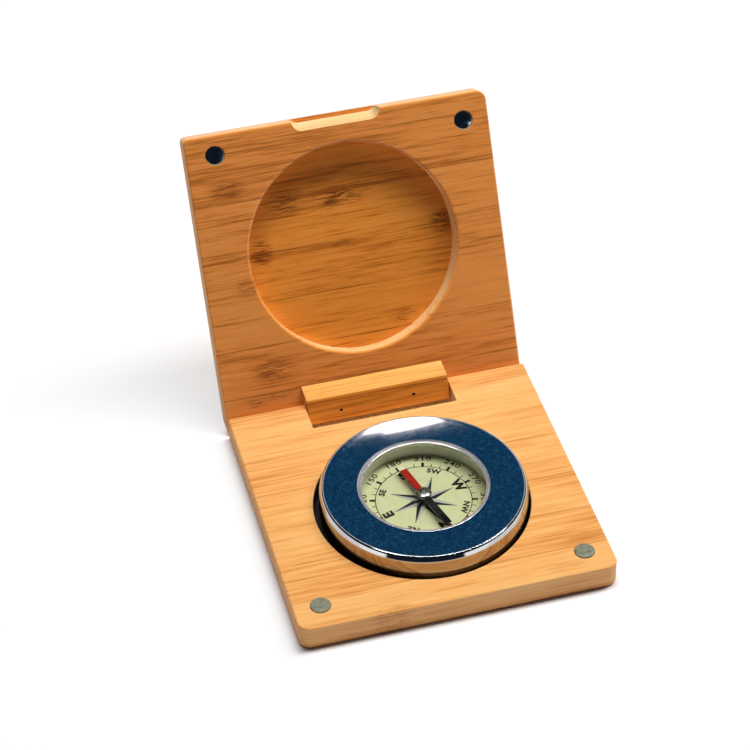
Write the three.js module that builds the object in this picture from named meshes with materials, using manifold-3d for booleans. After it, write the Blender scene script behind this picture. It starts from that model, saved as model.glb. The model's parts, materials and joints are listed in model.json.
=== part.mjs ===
// Bamboo pocket compass: a square hinged case that stands open, with a round compass in its base.
// Millimetres, +Z up. X runs along the hinge, -Y is the front, the origin is under the base's centre.
import * as THREE from 'three';
import { mergeVertices } from 'three/addons/utils/BufferGeometryUtils.js';
import Module from 'manifold-3d';

// Case leaves
const caseWidth = 80;
const caseDepth = 78;
const leafThickness = 6.5;
const cornerRadius = 3;
const lidLeftCornerRadius = 1.4;
const lidRightCornerRadius = 2.6;
const edgeRounding = 0.8;
const closedGap = 0.3;

// Hinge: the lid turns about two pins in the rear edge of the base
const openAngle = 118;
const axisInset = 1.7;
const axisBelowLid = 3.3;
const heelClearance = 0.1;
const blockLength = 38;
const blockWidth = 9.3;
const blockThickness = 5.4;
const blockShift = -0.35;
const blockEndClearance = 0.3;
const blockFrontClearance = 0.3;
const glueGap = 0.3;
const pinDiameter = 1.5;
const pinInCheek = 7;
const pinInBlock = 4.5;
const pinFit = 0.2;
const pinRunningFit = 0.3;
const bradDiameter = 0.8;
const bradSpacing = 19.6;
const bradShift = -0.75;
const leftBradDrop = 0.5;
const bradFromHingeEdge = 2.9;
const bradInLid = 3;
const bradSink = 0.3;
const bradFit = 0.3;

// Magnets that hold the lid shut
const magnetDiameter = 5;
const magnetThickness = 2.5;
const magnetFromSide = 6.8;
const magnetFromFront = 7;
const leftLidMagnetStray = 1.8;
const leftLidMagnetInset = 0.8;
const magnetFit = 0.2;
const baseMagnetProud = 0.3;
const lidMagnetSink = 0.3;

// Round pocket in the base and recess in the lid
const wellFromFront = 35;
const pocketDepth = 4.7;
const pocketClearance = 1.2;
const compassShift = 0.45;
const recessAllowance = 0.3;
const compassHeadroom = 0.3;
const rimEase = 0.4;
const recessEase = 0.8;

// Finger notch in the front edge of the lid; its floor rises towards a thin lip
const fingerNotchFlat = 18;
const fingerNotchRadius = 2.7;
const fingerNotchRise = 1.6;
const fingerNotchLip = 1.6;

// Compass
const housingDiameter = 52;
const compassHeight = 9.6;
const padThickness = 0.5;
const padClearance = 0.3;
const housingWall = 2.1;
const housingFlare = 0.4;
const coverThickness = 1.2;
const coverLedge = 0.8;
const coverFit = 0.1;
const shoulderRadius = 1.3;
const bezelDish = 0.03;
const bezelThickness = 1.75;
const bezelSkirtHeight = 2;
const bezelSkirtWall = 1.2;
const skirtFit = 0.15;
const lipWidth = 1;
const lipDrop = 0.35;
const crystalDrop = 1.15;
const openingDiameter = 31.1;
const crystalThickness = 1.2;
const crystalOverlap = 1.3;
const crystalFit = 0.1;
const crystalSeat = 0.4;
const capsuleWall = 1.9;
const capsuleFloor = 1;
const dialDepth = 3.4;
const dialThickness = 0.4;
const dialFit = 0.1;
const pivotDiameter = 1;
const pivotFit = 0.15;
const pivotFlangeDiameter = 3;
const pivotFlangeThickness = 0.5;
const needleHeight = 1.9;
const needleThickness = 0.25;
const needleRedLength = 11.4;
const needleBlackLength = 11.9;
const needleWidthAtHub = 1.6;
const needleWidthAtEnd = 1.9;
const needleBearing = 165.2;
const hubDiameter = 2;
const hubHeadDiameter = 4;
const hubHeadHeight = 0.9;
const hubBelowNeedle = 0.4;
const hubBore = 1.4;
const hubFit = 0.1;
const tipGap = 0.15;

// Smoothness of round faces
const roundSteps = 72;
const smallSteps = 24;
const arcSteps = 5;

const radians = Math.PI / 180;
const lean = (openAngle - 90) * radians;

const library = await Module();
library.setup();

// Welds a closed geometry and turns its faces outward
function welded(geometry) {
  const bare = geometry.clone();
  bare.deleteAttribute('normal');
  bare.deleteAttribute('uv');
  const mesh = mergeVertices(bare, 1e-4);
  const spots = mesh.attributes.position;
  const index = Array.from(mesh.index.array);
  const corners = [];
  for (let i = 0; i < index.length; i += 3) {
    const [a, b, c] = [index[i], index[i + 1], index[i + 2]];
    if (a !== b && b !== c && c !== a) {
      corners.push(a, b, c);
    }
  }
  let volume = 0;
  const p = new THREE.Vector3();
  const q = new THREE.Vector3();
  const r = new THREE.Vector3();
  for (let i = 0; i < corners.length; i += 3) {
    p.fromBufferAttribute(spots, corners[i]);
    q.fromBufferAttribute(spots, corners[i + 1]);
    r.fromBufferAttribute(spots, corners[i + 2]);
    volume += p.dot(q.cross(r));
  }
  if (volume < 0) {
    for (let i = 0; i < corners.length; i += 3) {
      [corners[i], corners[i + 1]] = [corners[i + 1], corners[i]];
    }
  }
  mesh.setIndex(corners);
  return mesh;
}

function solid(geometry) {
  const mesh = welded(geometry);
  return new library.Manifold(new library.Mesh({
    numProp: 3,
    vertProperties: new Float32Array(mesh.attributes.position.array),
    triVerts: new Uint32Array(mesh.index.array),
  }));
}

function surface(body) {
  const mesh = body.getMesh();
  const geometry = new THREE.BufferGeometry();
  geometry.setAttribute('position', new THREE.BufferAttribute(mesh.vertProperties.slice(), 3));
  geometry.setIndex(Array.from(mesh.triVerts));
  geometry.computeVertexNormals();
  return geometry;
}

// Turned piece about Z from [radius, height] points; a profile off the axis closes on itself
function turned(profile, steps = roundSteps) {
  const points = profile.map(([radius, height]) => new THREE.Vector2(radius, height));
  const onAxis = profile[0][0] === 0 && profile[profile.length - 1][0] === 0;
  if (!onAxis) {
    points.push(points[0].clone());
  }
  const lathe = new THREE.LatheGeometry(points, steps);
  lathe.rotateX(Math.PI / 2);
  return welded(lathe);
}

function disc(radius, low, high, steps = roundSteps) {
  return turned([[0, low], [radius, low], [radius, high], [0, high]], steps);
}

// Round cutter for a blind well that opens upward at mouth, with an eased rim
function wellCutter(radius, floor, mouth, ease) {
  return turned([
    [0, floor], [radius, floor], [radius, mouth - ease],
    [radius + ease, mouth], [radius + ease, mouth + 1], [0, mouth + 1],
  ]);
}

// Leaf of the case: round front corners, square hinge end, eased edges all round
function leaf(hingeEdge, low, leftRadius, rightRadius) {
  const half = caseWidth / 2 - edgeRounding;
  const rear = hingeEdge - edgeRounding;
  const front = hingeEdge - caseDepth + edgeRounding;
  const left = leftRadius - edgeRounding;
  const right = rightRadius - edgeRounding;
  const outline = new THREE.Shape();
  outline.moveTo(half, rear);
  outline.lineTo(-half, rear);
  outline.lineTo(-half, front + left);
  outline.absarc(-half + left, front + left, left, Math.PI, Math.PI * 1.5, false);
  outline.lineTo(half - right, front);
  outline.absarc(half - right, front + right, right, Math.PI * 1.5, Math.PI * 2, false);
  outline.closePath();
  const plate = new THREE.ExtrudeGeometry(outline, {
    depth: leafThickness - 2 * edgeRounding,
    bevelEnabled: true,
    bevelThickness: edgeRounding,
    bevelSize: edgeRounding,
    bevelSegments: 3,
    curveSegments: arcSteps,
  });
  plate.translate(0, 0, low + edgeRounding);
  return plate;
}

function box(x, y, z, low, high) {
  const block = new THREE.BoxGeometry(x, y, high - low);
  return block.translate(0, 0, (low + high) / 2);
}

// Prism along X from [y, z] corners
function prism(corners, length) {
  const outline = new THREE.Shape(corners.map(([y, z]) => new THREE.Vector2(y, z)));
  const bar = new THREE.ExtrudeGeometry(outline, { depth: length, bevelEnabled: false });
  bar.translate(0, 0, -length / 2);
  bar.applyMatrix4(new THREE.Matrix4().set(0, 0, 1, 0, 1, 0, 0, 0, 0, 1, 0, 0, 0, 0, 0, 1));
  return bar;
}

function rod(radius, from, to) {
  return disc(radius, from, to, smallSteps).rotateY(Math.PI / 2);
}

// Heights and places shared by the pieces
const hingeEdge = caseDepth / 2;
const axisY = hingeEdge - axisInset;
const axisZ = leafThickness + closedGap - axisBelowLid;
const wellY = -caseDepth / 2 + wellFromFront;
const magnetX = caseWidth / 2 - magnetFromSide;
const magnetRadius = magnetDiameter / 2;
const magnetHole = magnetRadius + magnetFit;
const baseMagnetY = -caseDepth / 2 + magnetFromFront;
const notchLength = blockLength + 2 * blockEndClearance;
const notchDepth = blockWidth + blockFrontClearance;
const pocketFloor = leafThickness - pocketDepth;
const housingRadius = housingDiameter / 2;
const pocketRadius = housingRadius + pocketClearance;
const compassX = compassShift;
const compassZ = pocketFloor + padThickness;
const compassTop = compassZ + compassHeight;

// Base leaf
let base = solid(leaf(hingeEdge, 0, cornerRadius, cornerRadius));
const pocket = wellCutter(pocketRadius, pocketFloor, leafThickness, rimEase).translate(0, wellY, 0);
base = base.subtract(solid(pocket));
const notch = box(notchLength, 2 * notchDepth, 0, -1, leafThickness + 1);
base = base.subtract(solid(notch.translate(blockShift, hingeEdge, 0)));
const baseHoleFloor = leafThickness + baseMagnetProud - magnetThickness - glueGap;
for (const side of [-1, 1]) {
  const hole = disc(magnetHole, baseHoleFloor, leafThickness + 1, smallSteps);
  base = base.subtract(solid(hole.translate(side * magnetX, baseMagnetY, 0)));
  const reach = notchLength / 2 + pinInCheek + glueGap;
  const bore = rod(pinDiameter / 2 + pinFit, Math.min(0, side * reach), Math.max(0, side * reach));
  base = base.subtract(solid(bore.translate(blockShift, axisY, axisZ)));
}

// Lid leaf, drawn shut about the hinge axis: its inner face looks down at z = axisBelowLid
const lidTop = axisBelowLid + leafThickness;
const lidFront = axisInset - caseDepth;
const recessDepth = compassTop - leafThickness - closedGap + compassHeadroom;
let lid = solid(leaf(axisInset, axisBelowLid, lidLeftCornerRadius, lidRightCornerRadius));
const recessRadius = pocketRadius + recessAllowance;
const recess = wellCutter(recessRadius, -recessDepth, 0, recessEase).rotateX(Math.PI);
lid = lid.subtract(solid(recess.translate(0, lidFront + wellFromFront, axisBelowLid)));

// The heel of the lid is bevelled, so that the lid leans back on the table when it is open
const heelHeight = axisZ - axisBelowLid * Math.sin(lean) - axisInset * Math.cos(lean);
const heelLand = (heelHeight - heelClearance) / Math.sin(lean);
const heelRun = (leafThickness + 1 - heelLand) * Math.tan(lean);
const heel = prism([
  [axisInset, axisBelowLid + heelLand],
  [axisInset + 4, axisBelowLid + heelLand],
  [axisInset + 4, lidTop + 1],
  [axisInset - heelRun, lidTop + 1],
], caseWidth + 4);
lid = lid.subtract(solid(heel));

const fingerHalf = fingerNotchFlat / 2;
const fingerOutline = new THREE.Shape();
fingerOutline.moveTo(fingerHalf + fingerNotchRadius, -3);
fingerOutline.lineTo(fingerHalf + fingerNotchRadius, 0);
fingerOutline.absarc(fingerHalf, 0, fingerNotchRadius, 0, Math.PI / 2, false);
fingerOutline.lineTo(-fingerHalf, fingerNotchRadius);
fingerOutline.absarc(-fingerHalf, 0, fingerNotchRadius, Math.PI / 2, Math.PI, false);
fingerOutline.lineTo(-fingerHalf - fingerNotchRadius, -3);
fingerOutline.closePath();
const finger = new THREE.ExtrudeGeometry(fingerOutline, {
  depth: leafThickness - fingerNotchLip + 1,
  bevelEnabled: false,
  curveSegments: arcSteps,
});
const fingerSlope = fingerNotchRise / (leafThickness - fingerNotchLip);
finger.translate(0, 0, -1);
finger.applyMatrix4(new THREE.Matrix4().makeShear(0, 0, 0, 0, 0, -fingerSlope));
lid = lid.subtract(solid(finger.translate(0, lidFront, axisBelowLid)));

// The left magnet of the lid is set nearer the front edge and the middle than its neighbours
const lidMagnetX = (side) => side * magnetX + (side < 0 ? leftLidMagnetInset : 0);
const lidMagnetY = (side) => lidFront + magnetFromFront - (side < 0 ? leftLidMagnetStray : 0);
const lidHoleFloor = axisBelowLid + lidMagnetSink + magnetThickness + glueGap;
const bradY = (side) => axisInset - bradFromHingeEdge + (side < 0 ? leftBradDrop : 0);
const bradX = (side) => side * bradSpacing / 2 + bradShift;
const bradHole = bradDiameter / 2 + bradFit;
const blockTop = axisBelowLid - glueGap;
const blockBottom = blockTop - blockThickness;
const bradTip = axisBelowLid + bradInLid;
for (const side of [-1, 1]) {
  const hole = disc(magnetHole, axisBelowLid - 1, lidHoleFloor, smallSteps);
  lid = lid.subtract(solid(hole.translate(lidMagnetX(side), lidMagnetY(side), 0)));
  const brad = disc(bradHole, axisBelowLid - 1, bradTip + glueGap, smallSteps);
  lid = lid.subtract(solid(brad.translate(bradX(side), bradY(side), 0)));
}

// Hinge block: its front is bevelled by the lean, so it swings clear of the notch and lies level when open
const blockBevel = blockThickness * Math.tan(lean);
let block = solid(prism([
  [axisInset, blockBottom],
  [axisInset, blockTop],
  [axisInset - blockWidth, blockTop],
  [axisInset - blockWidth + blockBevel, blockBottom],
], blockLength).translate(blockShift, 0, 0));
for (const side of [-1, 1]) {
  const inner = blockLength / 2 - pinInBlock - glueGap;
  const outer = blockLength / 2 + 1;
  const bore = rod(pinDiameter / 2 + pinRunningFit, Math.min(side * inner, side * outer),
    Math.max(side * inner, side * outer));
  block = block.subtract(solid(bore.translate(blockShift, 0, 0)));
  const brad = disc(bradHole, blockBottom - 1, blockTop + 1, smallSteps);
  block = block.subtract(solid(brad.translate(bradX(side), bradY(side), 0)));
}

// Compass, drawn about its own axis from the underside of its housing
const skirtRadius = housingRadius - housingWall - skirtFit;
const bezelSeat = compassHeight - bezelThickness;
const openingRadius = openingDiameter / 2;
const crystalTop = compassHeight - crystalDrop;
const crystalLow = crystalTop - crystalThickness;
const crystalRadius = openingRadius + crystalOverlap;
const crystalBore = crystalRadius + crystalFit;
const capsuleBore = crystalRadius - crystalSeat;
const capsuleRadius = capsuleBore + capsuleWall;
const dialTop = crystalLow - dialDepth;
const dialSeat = dialTop - dialThickness;
const capsuleUnder = dialSeat - capsuleFloor;
const pivotRadius = pivotDiameter / 2;
const pivotHole = pivotRadius + pivotFit;
const coverRadius = housingRadius - housingWall + coverLedge;

// The drum flares a little towards its foot
const housing = turned([
  [housingRadius + housingFlare, 0], [housingRadius, bezelSeat], [housingRadius - housingWall, bezelSeat],
  [housingRadius - housingWall, coverThickness], [coverRadius, coverThickness], [coverRadius, 0],
]);
const cover = disc(coverRadius - coverFit, 0, coverThickness);

const shoulder = [];
const shoulderBase = compassHeight - shoulderRadius;
for (let step = 0; step <= arcSteps; step += 1) {
  const angle = step / arcSteps * Math.PI / 2;
  shoulder.push([
    housingRadius - shoulderRadius * (1 - Math.cos(angle)),
    shoulderBase + shoulderRadius * Math.sin(angle),
  ]);
}
const lipOuter = openingRadius + lipWidth;
const bezel = turned([
  [housingRadius, bezelSeat],
  ...shoulder,
  [lipOuter, compassHeight - bezelDish],
  [lipOuter - 0.1, compassHeight - lipDrop],
  [openingRadius + 0.15, compassHeight - lipDrop],
  [openingRadius, compassHeight - lipDrop - 0.15],
  [openingRadius, crystalTop],
  [crystalBore, crystalTop],
  [crystalBore, bezelSeat],
  [skirtRadius - bezelSkirtWall, bezelSeat],
  [skirtRadius - bezelSkirtWall, bezelSeat - bezelSkirtHeight],
  [skirtRadius, bezelSeat - bezelSkirtHeight],
  [skirtRadius, bezelSeat],
]);
const crystal = disc(crystalRadius, crystalLow, crystalTop);
const capsule = turned([
  [pivotHole, capsuleUnder], [capsuleRadius - 1.2, capsuleUnder],
  [capsuleRadius - 1.2, coverThickness], [capsuleRadius, coverThickness],
  [capsuleRadius, bezelSeat], [crystalBore, bezelSeat], [crystalBore, crystalLow],
  [capsuleBore, crystalLow], [capsuleBore, dialSeat], [pivotHole, dialSeat],
]);
const dial = turned([
  [pivotHole, dialSeat], [capsuleBore - dialFit, dialSeat],
  [capsuleBore - dialFit, dialTop], [pivotHole, dialTop],
]);

// Needle strip with its hub; the hub is hollow and sits on the point of the pivot pin
const needleLow = dialTop + needleHeight;
const needleTop = needleLow + needleThickness;
const hubTop = needleTop + hubHeadHeight;
const boreTop = needleTop + hubHeadHeight / 2;
const hubRadius = hubDiameter / 2;
const hub = turned([
  [hubBore / 2, needleLow - hubBelowNeedle], [hubRadius, needleLow - hubBelowNeedle],
  [hubRadius, needleTop], [hubHeadDiameter / 2, needleTop],
  [hubHeadDiameter / 2, needleTop + hubHeadHeight / 2], [hubHeadDiameter / 3, hubTop],
  [0, hubTop], [0, boreTop], [hubBore / 2, needleLow],
], smallSteps);
const pivotTip = boreTop - tipGap;
const pivot = turned([
  [0, capsuleUnder - pivotFlangeThickness],
  [pivotFlangeDiameter / 2, capsuleUnder - pivotFlangeThickness],
  [pivotFlangeDiameter / 2, capsuleUnder], [pivotRadius, capsuleUnder],
  [pivotRadius, needleLow - hubBelowNeedle - 0.5], [0, pivotTip],
], smallSteps);

const strip = new THREE.Shape([
  new THREE.Vector2(-needleWidthAtHub / 2, 0),
  new THREE.Vector2(-needleWidthAtEnd / 2, -needleBlackLength),
  new THREE.Vector2(needleWidthAtEnd / 2, -needleBlackLength),
  new THREE.Vector2(needleWidthAtHub / 2, 0),
  new THREE.Vector2(needleWidthAtEnd / 2, needleRedLength),
  new THREE.Vector2(-needleWidthAtEnd / 2, needleRedLength),
]);
const stripPlate = new THREE.ExtrudeGeometry(strip, { depth: needleThickness, bevelEnabled: false });
const hubRing = disc(hubRadius + hubFit + 0.6, needleLow, needleTop, smallSteps);
const hubHole = disc(hubRadius + hubFit, needleLow - 1, needleTop + 1, smallSteps);
const needle = solid(stripPlate.translate(0, 0, needleLow)).add(solid(hubRing)).subtract(solid(hubHole));

// The dark pad lines the floor of the pocket
const pad = disc(pocketRadius - padClearance, 0, padThickness);

// Finishes
const finishes = {
  bamboo: { color: 0xd79a55, roughness: 0.5, metalness: 0 },
  bambooLid: { color: 0xc17f3e, roughness: 0.5, metalness: 0 },
  nickel: { color: 0x9aa097, roughness: 0.3, metalness: 1 },
  steel: { color: 0x8c8c8c, roughness: 0.4, metalness: 1 },
  chrome: { color: 0xe6e6e6, roughness: 0.08, metalness: 1 },
  navy: { color: 0x0d3566, roughness: 0.2, metalness: 0.6 },
  ivory: { color: 0xc3c7a6, roughness: 0.5, metalness: 0 },
  dialPaper: { color: 0xd4d6a8, roughness: 0.6, metalness: 0 },
  glass: { color: 0xf4f8f6, roughness: 0.02, metalness: 0, transparent: true, opacity: 0.15 },
  red: { color: 0xaf2314, roughness: 0.4, metalness: 0.2 },
  foam: { color: 0x2b2b2b, roughness: 0.9, metalness: 0 },
};

const whole = new THREE.Group();
const lidGroup = new THREE.Group();
lidGroup.position.set(0, axisY, axisZ);
lidGroup.rotation.x = -openAngle * radians;
const compassGroup = new THREE.Group();
compassGroup.position.set(compassX, wellY, compassZ);
const needleGroup = new THREE.Group();
needleGroup.rotation.z = (180 - needleBearing) * radians;
compassGroup.add(needleGroup);
whole.add(lidGroup, compassGroup);

function place(group, name, geometry, finish, x = 0, y = 0, z = 0) {
  const mesh = new THREE.Mesh(geometry, new THREE.MeshStandardMaterial(finishes[finish]));
  mesh.name = name;
  mesh.position.set(x, y, z);
  group.add(mesh);
}

place(whole, 'base_plate', surface(base), 'bamboo');
place(lidGroup, 'lid_plate', surface(lid), 'bambooLid');
place(lidGroup, 'hinge_block', surface(block), 'bamboo');
for (const [word, side] of [['left', -1], ['right', 1]]) {
  const inCheek = side * (notchLength / 2 + pinInCheek);
  const inBlock = side * (blockLength / 2 - pinInBlock);
  const pin = rod(pinDiameter / 2, Math.min(inCheek, inBlock), Math.max(inCheek, inBlock));
  place(whole, `hinge_pin_${word}`, pin, 'steel', blockShift, axisY, axisZ);
  const brad = disc(bradDiameter / 2, blockBottom + bradSink, bradTip, smallSteps);
  place(lidGroup, `block_brad_${word}`, brad, 'steel', bradX(side), bradY(side), 0);
  const magnet = disc(magnetRadius, 0, magnetThickness, smallSteps);
  place(whole, `base_magnet_${word}`, magnet, 'nickel', side * magnetX, baseMagnetY,
    leafThickness + baseMagnetProud - magnetThickness);
  place(lidGroup, `lid_magnet_${word}`, magnet.clone(), 'nickel', lidMagnetX(side), lidMagnetY(side),
    axisBelowLid + lidMagnetSink);
}
place(compassGroup, 'adhesive_pad', pad, 'foam', -compassX, 0, -padThickness);
place(compassGroup, 'compass_housing', housing, 'chrome');
place(compassGroup, 'back_cover', cover, 'steel');
place(compassGroup, 'bezel_ring', bezel, 'navy');
place(compassGroup, 'capsule_cup', capsule, 'ivory');
place(compassGroup, 'dial_plate', dial, 'dialPaper');
place(compassGroup, 'crystal', crystal, 'glass');
place(compassGroup, 'pivot_pin', pivot, 'steel');
place(needleGroup, 'needle', surface(needle), 'red');
place(needleGroup, 'needle_hub', hub, 'steel');

export default whole;
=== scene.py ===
# %% [markdown]
# # A bamboo pocket compass, dressed in Blender
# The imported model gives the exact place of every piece, and this lesson builds the visible surface
# of each one over it. The case is two leaves of laminated bamboo on a hinge, and a round compass
# sits in the lower leaf. Everything is worked out in millimetres and turned into metres at the end.

# %% Load the frame
import json
import math

import bmesh
import bpy
from mathutils import Matrix, Vector


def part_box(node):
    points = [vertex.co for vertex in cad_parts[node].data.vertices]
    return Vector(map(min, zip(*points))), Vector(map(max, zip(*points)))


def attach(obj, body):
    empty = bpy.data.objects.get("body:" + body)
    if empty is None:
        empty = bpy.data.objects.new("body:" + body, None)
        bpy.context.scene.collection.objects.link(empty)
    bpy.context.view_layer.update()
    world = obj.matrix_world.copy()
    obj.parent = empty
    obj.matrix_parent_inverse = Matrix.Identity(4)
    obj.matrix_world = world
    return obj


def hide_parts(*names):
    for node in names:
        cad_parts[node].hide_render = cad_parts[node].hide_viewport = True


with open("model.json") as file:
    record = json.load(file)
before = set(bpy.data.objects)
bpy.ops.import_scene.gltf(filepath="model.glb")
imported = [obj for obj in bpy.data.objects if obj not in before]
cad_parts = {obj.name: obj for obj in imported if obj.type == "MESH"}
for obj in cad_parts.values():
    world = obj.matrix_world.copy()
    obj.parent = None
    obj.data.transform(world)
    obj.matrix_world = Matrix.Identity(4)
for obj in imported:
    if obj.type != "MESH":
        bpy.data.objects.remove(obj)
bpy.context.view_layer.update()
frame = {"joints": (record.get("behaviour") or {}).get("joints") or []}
scene = bpy.context.scene

# %% [markdown]
# ## The camera
# A camera that is matched to a photograph needs three things: where it stands, how it is turned and
# how long its lens is. All three were solved from the straight edges and circles of the case, so the
# three directions below are the picture's right, its up and the way back to the viewer.

# %% Camera
eye = Vector((-0.123853, -0.446970, 0.451019))
right = Vector((0.965423, -0.260155, -0.016646))
back = Vector((-0.185141, -0.729201, 0.658778))
picture_width = 750
focal_pixels = 2561.7

lens = bpy.data.cameras.new("photo_camera")
lens.sensor_width = 36
lens.lens = focal_pixels / picture_width * lens.sensor_width
lens.clip_start, lens.clip_end = 0.01, 50
camera = bpy.data.objects.new("photo_camera", lens)
scene.collection.objects.link(camera)
up = back.cross(right).normalized()
axes = Matrix((right, up, back)).transposed().to_4x4()
camera.matrix_world = Matrix.Translation(eye) @ axes
scene.camera = camera
print("lens", round(lens.lens, 1), "mm")

# %% [markdown]
# ## Helpers for shader nodes
# Every finish here is a small tree of nodes. Making a node, setting its values and plugging sockets
# into it takes three lines each time, so one helper does it: a value that is itself a socket is
# linked, and anything else is typed into the field.

# %% Node helpers
def new_finish(name):
    finish = bpy.data.materials.new(name)
    finish.use_nodes = True
    return finish


def node(finish, kind, values=None, **settings):
    made = finish.node_tree.nodes.new("ShaderNode" + kind)
    for key, value in settings.items():
        setattr(made, key, value)
    for key, value in (values or {}).items():
        if isinstance(value, bpy.types.NodeSocket):
            finish.node_tree.links.new(value, made.inputs[key])
        else:
            made.inputs[key].default_value = value
    return made


def maths(finish, operation, first, *others):
    """One operation on one value, on two, or on more from left to right."""
    for other in others or (0.0,):
        first = node(finish, "Math", {0: first, 1: other}, operation=operation).outputs[0]
    return first


def vectors(finish, operation, a, b=(0, 0, 0)):
    made = node(finish, "VectorMath", {0: a, 1: b}, operation=operation)
    return made.outputs["Value" if operation in ("LENGTH", "DOT_PRODUCT") else "Vector"]


def ramp(finish, value, low, high, start=0.0, end=1.0):
    """A smooth step of value from low to high, sent out as start to end."""
    made = node(finish, "MapRange", {"Value": value, "From Min": low, "From Max": high,
                "To Min": start, "To Max": end}, interpolation_type="SMOOTHSTEP")
    return made.outputs["Result"]


def mixed(finish, share, a, b):
    """Colour a where share is 0 and b where it is 1; a Mix node takes its colours at 6 and 7."""
    return node(finish, "Mix", {0: share, 6: a, 7: b}, data_type="RGBA").outputs[2]


def object_place(finish):
    return node(finish, "TexCoord").outputs["Object"]


def stretched_noise(finish, vector, stretch, detail=3.0, rough=0.55):
    pulled = vectors(finish, "MULTIPLY", vector, stretch)
    made = node(finish, "TexNoise", {"Vector": pulled, "Scale": 1.0, "Detail": detail,
                "Roughness": rough})
    return made.outputs["Fac"]


print("node helpers ready")

# %% [markdown]
# Every finish is built round one shader, the Principled BSDF. Four more helpers feed it: one types in
# plain numbers, one plugs in a socket, one lays a further colour over what is there already, and one
# turns a height into a bump.

# %% Shader helpers
def principled(finish):
    return finish.node_tree.nodes["Principled BSDF"]


def tune(finish, values):
    for name, value in values.items():
        principled(finish).inputs[name].default_value = value


def plug(finish, socket, name):
    finish.node_tree.links.new(socket, principled(finish).inputs[name])


def tint_over(finish, share, colour):
    below = principled(finish).inputs["Base Color"].links[0].from_socket
    plug(finish, mixed(finish, share, below, colour), "Base Color")


def emboss(finish, height, strength, distance, invert=False):
    bump = node(finish, "Bump", {"Height": height, "Strength": strength, "Distance": distance},
                invert=invert)
    plug(finish, bump.outputs["Normal"], "Normal")


print("shader helpers ready")

# %% [markdown]
# ## Bamboo
# Plain-pressed bamboo is glued from strips about 13 mm wide, in two or three layers. Each strip has
# its own tone and long streaks along its length, and now and then a knuckle, where the cane had a
# joint: a patch of short dark dashes in which the fibres bend. The pattern is built in millimetres,
# along X for the length of a strip, Y across the strips and Z through the leaf, and a Mapping node
# turns it with the lid. The clear varnish is the coat of the shader, and it stays smooth over the
# fibres, because only the wood below it is bumped.

# %% Strips and knuckles
strip_width = 12.8
layer_height = 3.3
first_layer = 0.6
layer_slip = 5.1
layer_numbers = 17.0


def grain_place(finish, turn, shift):
    """Millimetres along the fibres, across the strips and through the leaf."""
    return node(finish, "Mapping", {"Vector": object_place(finish), "Location": shift,
                "Rotation": (turn, 0, 0), "Scale": (1000, 1000, 1000)}).outputs[0]


def layer_of(finish, through):
    """Layers counted through the leaf, the part of a layer with them."""
    return maths(finish, "ADD", maths(finish, "DIVIDE", through, layer_height), first_layer)


def strip_of(finish, across, through, offset):
    """Strips counted across the leaf, and a number that each strip has for its own."""
    layer = maths(finish, "FLOOR", layer_of(finish, through))
    place = maths(finish, "ADD", maths(finish, "MULTIPLY", layer, layer_slip), offset)
    strip = maths(finish, "DIVIDE", maths(finish, "ADD", across, place), strip_width)
    number = maths(finish, "ADD", maths(finish, "FLOOR", strip),
                   maths(finish, "MULTIPLY", layer, layer_numbers))
    return strip, number


def knuckle_mask(finish, local, knuckles):
    """Strength of the knuckles at a place; each has a middle, two half lengths and a strength."""
    mask = 0.0
    for x, y, length, width, strength in knuckles:
        away = vectors(finish, "SUBTRACT", local, (x, y, 0))
        reach = vectors(finish, "LENGTH", vectors(finish, "MULTIPLY", away, (1 / length, 1 / width, 0)))
        mask = maths(finish, "MAXIMUM", mask, ramp(finish, reach, 1.15, 0.25, 0.0, strength))
    return mask


print("bamboo strips are", strip_width, "mm wide")

# %% [markdown]
# Three noises give a strip its tone: slow clouds, long streaks and fine fibres. Bands of colour turn the
# tone into wood, from the deepest streak to the palest. The dashes of the knuckles, small dark specks
# and the glue lines between the strips are then laid over it, and the fibres are bumped.

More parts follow.
